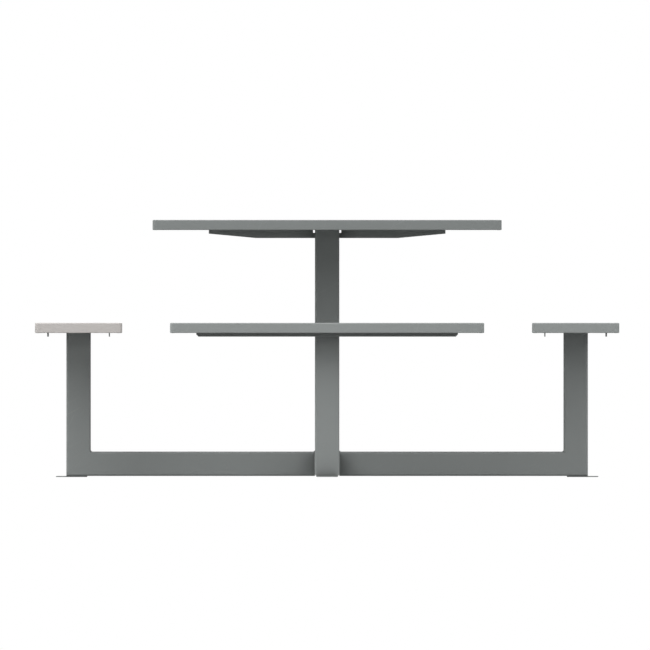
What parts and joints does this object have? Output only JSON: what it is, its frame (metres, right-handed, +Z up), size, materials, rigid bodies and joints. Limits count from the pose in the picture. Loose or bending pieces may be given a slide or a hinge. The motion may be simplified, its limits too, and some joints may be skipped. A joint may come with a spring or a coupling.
{
  "type": "canteen table with benches",
  "caption": "Fixed canteen table: square steel top on a central column, benches on posts at the ends of a welded floor cross of square tube, with anchor plates.",
  "frame": {"origin": "on the floor, under the axis of the central column, at the underside of the foot plates", "axes": "+X to the right bench, along the table arms; +Y to the back bench, along the long floor beam; +Z up the column"},
  "size_m": [1.674, 1.674, 0.7365],
  "materials": {
    "frame_coat_grey": "fine-textured grey powder coat on welded steel tube and plate",
    "table_coat_grey": "fine-textured grey powder coat on folded sheet steel",
    "seat_coat_grey": "fine-textured grey powder coat on folded sheet steel",
    "seat_coat_beige": "fine-textured warm light grey powder coat on folded sheet steel",
    "zinc_plate": "bright zinc-plated fasteners"
  },
  "bodies": {
    "root": {"back_crossbar_left": "frame_coat_grey", "back_crossbar_right": "frame_coat_grey", "back_foot_plate": "frame_coat_grey", "back_head_plate": "frame_coat_grey", "back_inner_rib": "frame_coat_grey", "back_outer_rib": "frame_coat_grey", "back_post": "frame_coat_grey", "back_seat": "seat_coat_grey", "bench_nuts": "zinc_plate", "bench_studs": "zinc_plate", "bench_washers": "zinc_plate", "column": "frame_coat_grey", "column_head_plate": "frame_coat_grey", "floor_beam_left": "frame_coat_grey", "floor_beam_long": "frame_coat_grey", "floor_beam_right": "frame_coat_grey", "front_crossbar_left": "frame_coat_grey", "front_crossbar_right": "frame_coat_grey", "front_foot_plate": "frame_coat_grey", "front_head_plate": "frame_coat_grey", "front_inner_rib": "frame_coat_grey", "front_outer_rib": "frame_coat_grey", "front_post": "frame_coat_grey", "front_seat": "seat_coat_grey", "left_crossbar_back": "frame_coat_grey", "left_crossbar_front": "frame_coat_grey", "left_foot_plate": "frame_coat_grey", "left_head_plate": "frame_coat_grey", "left_inner_rib": "frame_coat_grey", "left_outer_rib": "frame_coat_grey", "left_post": "frame_coat_grey", "left_seat": "seat_coat_beige", "right_crossbar_back": "frame_coat_grey", "right_crossbar_front": "frame_coat_grey", "right_foot_plate": "frame_coat_grey", "right_head_plate": "frame_coat_grey", "right_inner_rib": "frame_coat_grey", "right_outer_rib": "frame_coat_grey", "right_post": "frame_coat_grey", "right_seat": "seat_coat_grey", "table_arm_left": "frame_coat_grey", "table_arm_right": "frame_coat_grey", "table_crossbar_left": "frame_coat_grey", "table_crossbar_right": "frame_coat_grey", "table_nuts": "zinc_plate", "table_stiffener_back": "table_coat_grey", "table_stiffener_front": "table_coat_grey", "table_studs": "zinc_plate", "table_top": "table_coat_grey", "table_washers": "zinc_plate"}
  },
  "joints": []
}
